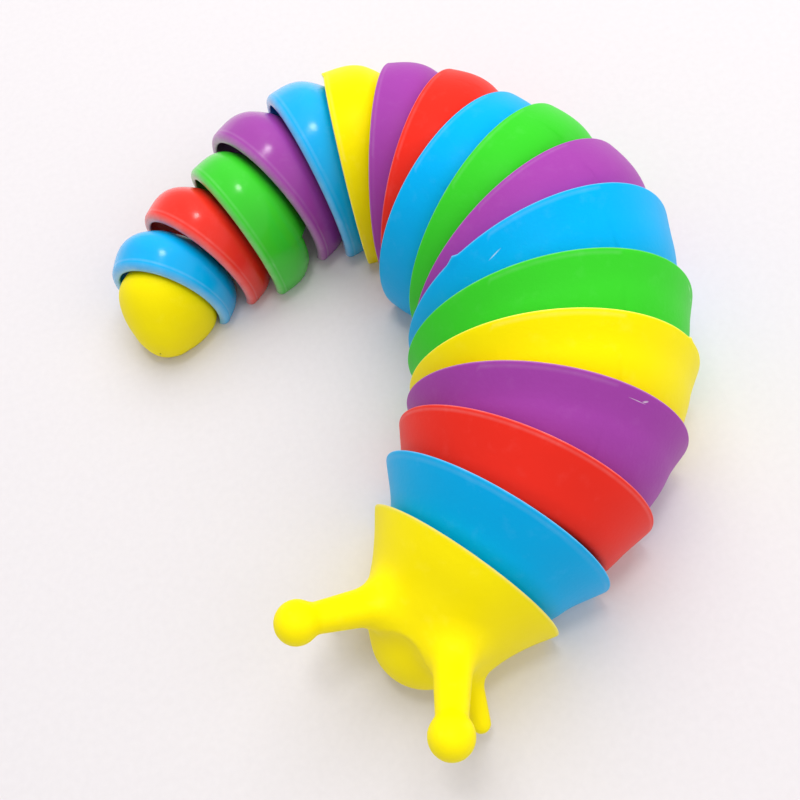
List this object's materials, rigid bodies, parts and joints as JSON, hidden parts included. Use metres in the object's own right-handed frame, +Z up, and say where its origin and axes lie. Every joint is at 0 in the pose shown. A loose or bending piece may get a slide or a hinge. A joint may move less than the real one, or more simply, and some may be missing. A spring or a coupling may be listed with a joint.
{
  "type": "articulated slug fidget toy",
  "caption": "Curled articulated slug toy of nested dome-fronted plastic shells on upright hinge pins, with a knobbed head and a tail tip.",
  "frame": {"origin": "centre of the curled toy's plan box, on the table", "axes": "+Z up off the table, +Y towards the outer side of the curled tail, the longer plan extent; the head points to -X and -Y"},
  "size_m": [0.0903, 0.1153, 0.0382],
  "materials": {
    "yellow_soft": "soft matt moulded plastic",
    "yellow": "satin to gloss injection-moulded plastic",
    "blue": "satin to gloss injection-moulded plastic",
    "red": "satin to gloss injection-moulded plastic",
    "green": "satin to gloss injection-moulded plastic",
    "purple": "satin to gloss injection-moulded plastic",
    "pin_white": "natural moulded plastic"
  },
  "bodies": {
    "tail_tip": {"tail_tip": "yellow_soft"},
    "shell_02_blue": {"shell_02_blue": "blue"},
    "shell_03_red": {"shell_03_red": "red"},
    "shell_04_green": {"shell_04_green": "green"},
    "shell_05_purple": {"shell_05_purple": "purple"},
    "shell_06_blue": {"shell_06_blue": "blue"},
    "shell_07_yellow": {"shell_07_yellow": "yellow"},
    "shell_08_purple": {"shell_08_purple": "purple"},
    "shell_09_red": {"shell_09_red": "red"},
    "shell_10_blue": {"shell_10_blue": "blue"},
    "shell_11_green": {"shell_11_green": "green"},
    "shell_12_purple": {"shell_12_purple": "purple"},
    "shell_13_blue": {"shell_13_blue": "blue"},
    "shell_14_green": {"shell_14_green": "green"},
    "shell_15_yellow": {"shell_15_yellow": "yellow"},
    "shell_16_purple": {"shell_16_purple": "purple"},
    "shell_17_red": {"shell_17_red": "red"},
    "shell_18_blue": {"shell_18_blue": "blue"},
    "head": {"head": "yellow_soft"},
    "hinge_pin_01": {"hinge_pin_01": "pin_white"},
    "hinge_pin_02": {"hinge_pin_02": "pin_white"},
    "hinge_pin_03": {"hinge_pin_03": "pin_white"},
    "hinge_pin_04": {"hinge_pin_04": "pin_white"},
    "hinge_pin_05": {"hinge_pin_05": "pin_white"},
    "hinge_pin_06": {"hinge_pin_06": "pin_white"},
    "hinge_pin_07": {"hinge_pin_07": "pin_white"},
    "hinge_pin_08": {"hinge_pin_08": "pin_white"},
    "hinge_pin_09": {"hinge_pin_09": "pin_white"},
    "hinge_pin_10": {"hinge_pin_10": "pin_white"},
    "hinge_pin_11": {"hinge_pin_11": "pin_white"},
    "hinge_pin_12": {"hinge_pin_12": "pin_white"},
    "hinge_pin_13": {"hinge_pin_13": "pin_white"},
    "hinge_pin_14": {"hinge_pin_14": "pin_white"},
    "hinge_pin_15": {"hinge_pin_15": "pin_white"},
    "hinge_pin_16": {"hinge_pin_16": "pin_white"},
    "hinge_pin_17": {"hinge_pin_17": "pin_white"},
    "hinge_pin_18": {"hinge_pin_18": "pin_white"}
  },
  "joints": [
    {"name": "bend_10", "type": "hinge", "parent": "shell_10_blue", "child": "hinge_pin_10", "pos_m": [0.01585, 0.02739, 0.005], "axis": [0, 0, 1], "range_deg": [-15, 13]},
    {"name": "play_10", "type": "slide", "parent": "hinge_pin_10", "child": "shell_11_green", "axis": [0.515, -0.8572, 0], "range_m": [0, 0.001]},
    {"name": "bend_11", "type": "hinge", "parent": "shell_11_green", "child": "hinge_pin_11", "pos_m": [0.01956, 0.02122, 0.005], "axis": [0, 0, 1], "range_deg": [-2, 26]},
    {"name": "play_11", "type": "slide", "parent": "hinge_pin_11", "child": "shell_12_purple", "axis": [0.3256, -0.9455, 0], "range_m": [-0.001, 0]},
    {"name": "bend_12", "type": "hinge", "parent": "shell_12_purple", "child": "hinge_pin_12", "pos_m": [0.02223, 0.01346, 0.005], "axis": [0, 0, 1], "range_deg": [0, 28]},
    {"name": "play_12", "type": "slide", "parent": "hinge_pin_12", "child": "shell_13_blue", "axis": [0.0872, -0.9962, 0], "range_m": [0, 0.001]},
    {"name": "bend_13", "type": "hinge", "parent": "shell_13_blue", "child": "hinge_pin_13", "pos_m": [0.02285, 0.00629, 0.005], "axis": [0, 0, 1], "range_deg": [-1, 27]},
    {"name": "play_13", "type": "slide", "parent": "hinge_pin_13", "child": "shell_14_green", "axis": [-0.1392, -0.9903, 0], "range_m": [-0.001, 0]},
    {"name": "bend_14", "type": "hinge", "parent": "shell_14_green", "child": "hinge_pin_14", "pos_m": [0.02171, -0.00183, 0.005], "axis": [0, 0, 1], "range_deg": [-6, 22]},
    {"name": "play_14", "type": "slide", "parent": "hinge_pin_14", "child": "shell_15_yellow", "axis": [-0.2756, -0.9613, 0], "range_m": [-0.0005, 0.0005]},
    {"name": "bend_15", "type": "hinge", "parent": "shell_15_yellow", "child": "hinge_pin_15", "pos_m": [0.01959, -0.00923, 0.005], "axis": [0, 0, 1], "range_deg": [-1, 27]},
    {"name": "play_15", "type": "slide", "parent": "hinge_pin_15", "child": "shell_16_purple", "axis": [-0.4848, -0.8746, 0], "range_m": [0, 0.001]},
    {"name": "bend_16", "type": "hinge", "parent": "shell_16_purple", "child": "hinge_pin_16", "pos_m": [0.0161, -0.01553, 0.005], "axis": [0, 0, 1], "range_deg": [-1, 27]},
    {"name": "play_16", "type": "slide", "parent": "hinge_pin_16", "child": "shell_17_red", "axis": [-0.6691, -0.7431, 0], "range_m": [-0.001, 0]},
    {"name": "bend_17", "type": "hinge", "parent": "shell_17_red", "child": "hinge_pin_17", "pos_m": [0.01061, -0.02162, 0.005], "axis": [0, 0, 1], "range_deg": [-1, 15]},
    {"name": "play_17", "type": "slide", "parent": "hinge_pin_17", "child": "shell_18_blue", "axis": [-0.7547, -0.6561, 0], "range_m": [-0.001, 0]},
    {"name": "bend_18", "type": "hinge", "parent": "shell_18_blue", "child": "hinge_pin_18", "pos_m": [0.00442, -0.027, 0.005], "axis": [0, 0, 1], "range_deg": [-4, 12]},
    {"name": "play_18", "type": "slide", "parent": "hinge_pin_18", "child": "head", "axis": [-0.7986, -0.6018, 0], "range_m": [-0.001, 0]},
    {"name": "play_09", "type": "slide", "parent": "shell_10_blue", "child": "hinge_pin_09", "axis": [-0.5, 0.866, 0], "range_m": [0, 0.001]},
    {"name": "bend_09", "type": "hinge", "parent": "hinge_pin_09", "child": "shell_09_red", "pos_m": [0.01225, 0.03362, 0.005], "axis": [0, 0, -1], "range_deg": [0, 36]},
    {"name": "play_08", "type": "slide", "parent": "shell_09_red", "child": "hinge_pin_08", "axis": [-0.7431, 0.6691, 0], "range_m": [0, 0.001]},
    {"name": "bend_08", "type": "hinge", "parent": "hinge_pin_08", "child": "shell_08_purple", "pos_m": [0.0069, 0.03844, 0.005], "axis": [0, 0, -1], "range_deg": [-1, 35]},
    {"name": "play_07", "type": "slide", "parent": "shell_08_purple", "child": "hinge_pin_07", "axis": [-0.9063, 0.4226, 0], "range_m": [-0.0005, 0.0005]},
    {"name": "bend_07", "type": "hinge", "parent": "hinge_pin_07", "child": "shell_07_yellow", "pos_m": [-0.00008, 0.04169, 0.005], "axis": [0, 0, -1], "range_deg": [0, 36]},
    {"name": "play_06", "type": "slide", "parent": "shell_07_yellow", "child": "hinge_pin_06", "axis": [-0.9925, 0.1219, 0], "range_m": [-0.00025, 0.00075]},
    {"name": "bend_06", "type": "hinge", "parent": "hinge_pin_06", "child": "shell_06_blue", "pos_m": [-0.00748, 0.0426, 0.005], "axis": [0, 0, -1], "range_deg": [0, 36]},
    {"name": "play_05", "type": "slide", "parent": "shell_06_blue", "child": "hinge_pin_05", "axis": [-0.9816, -0.1908, 0], "range_m": [-0.001, 0]},
    {"name": "bend_05", "type": "hinge", "parent": "hinge_pin_05", "child": "shell_05_purple", "pos_m": [-0.01553, 0.04104, 0.005], "axis": [0, 0, -1], "range_deg": [0, 36]},
    {"name": "play_04", "type": "slide", "parent": "shell_05_purple", "child": "hinge_pin_04", "axis": [-0.8746, -0.4848, 0], "range_m": [-0.001, 0]},
    {"name": "bend_04", "type": "hinge", "parent": "hinge_pin_04", "child": "shell_04_green", "pos_m": [-0.0227, 0.03706, 0.005], "axis": [0, 0, -1], "range_deg": [-26, 10]},
    {"name": "play_03", "type": "slide", "parent": "shell_04_green", "child": "hinge_pin_03", "axis": [-0.9336, -0.3584, 0], "range_m": [-0.001, 0]},
    {"name": "bend_03", "type": "hinge", "parent": "hinge_pin_03", "child": "shell_03_red", "pos_m": [-0.03035, 0.03412, 0.005], "axis": [0, 0, -1], "range_deg": [0, 36]},
    {"name": "play_02", "type": "slide", "parent": "shell_03_red", "child": "hinge_pin_02", "axis": [-0.7771, -0.6293, 0], "range_m": [-0.001, 0]},
    {"name": "bend_02", "type": "hinge", "parent": "hinge_pin_02", "child": "shell_02_blue", "pos_m": [-0.03672, 0.02896, 0.005], "axis": [0, 0, -1], "range_deg": [0, 36]},
    {"name": "bend_01", "type": "hinge", "parent": "shell_02_blue", "child": "hinge_pin_01", "pos_m": [-0.03672, 0.02896, 0.005], "axis": [0, 0, -1], "range_deg": [-10, 26]},
    {"name": "play_01", "type": "slide", "parent": "hinge_pin_01", "child": "tail_tip", "axis": [-0.4226, -0.9063, 0], "range_m": [0, 0.001]}
  ]
}
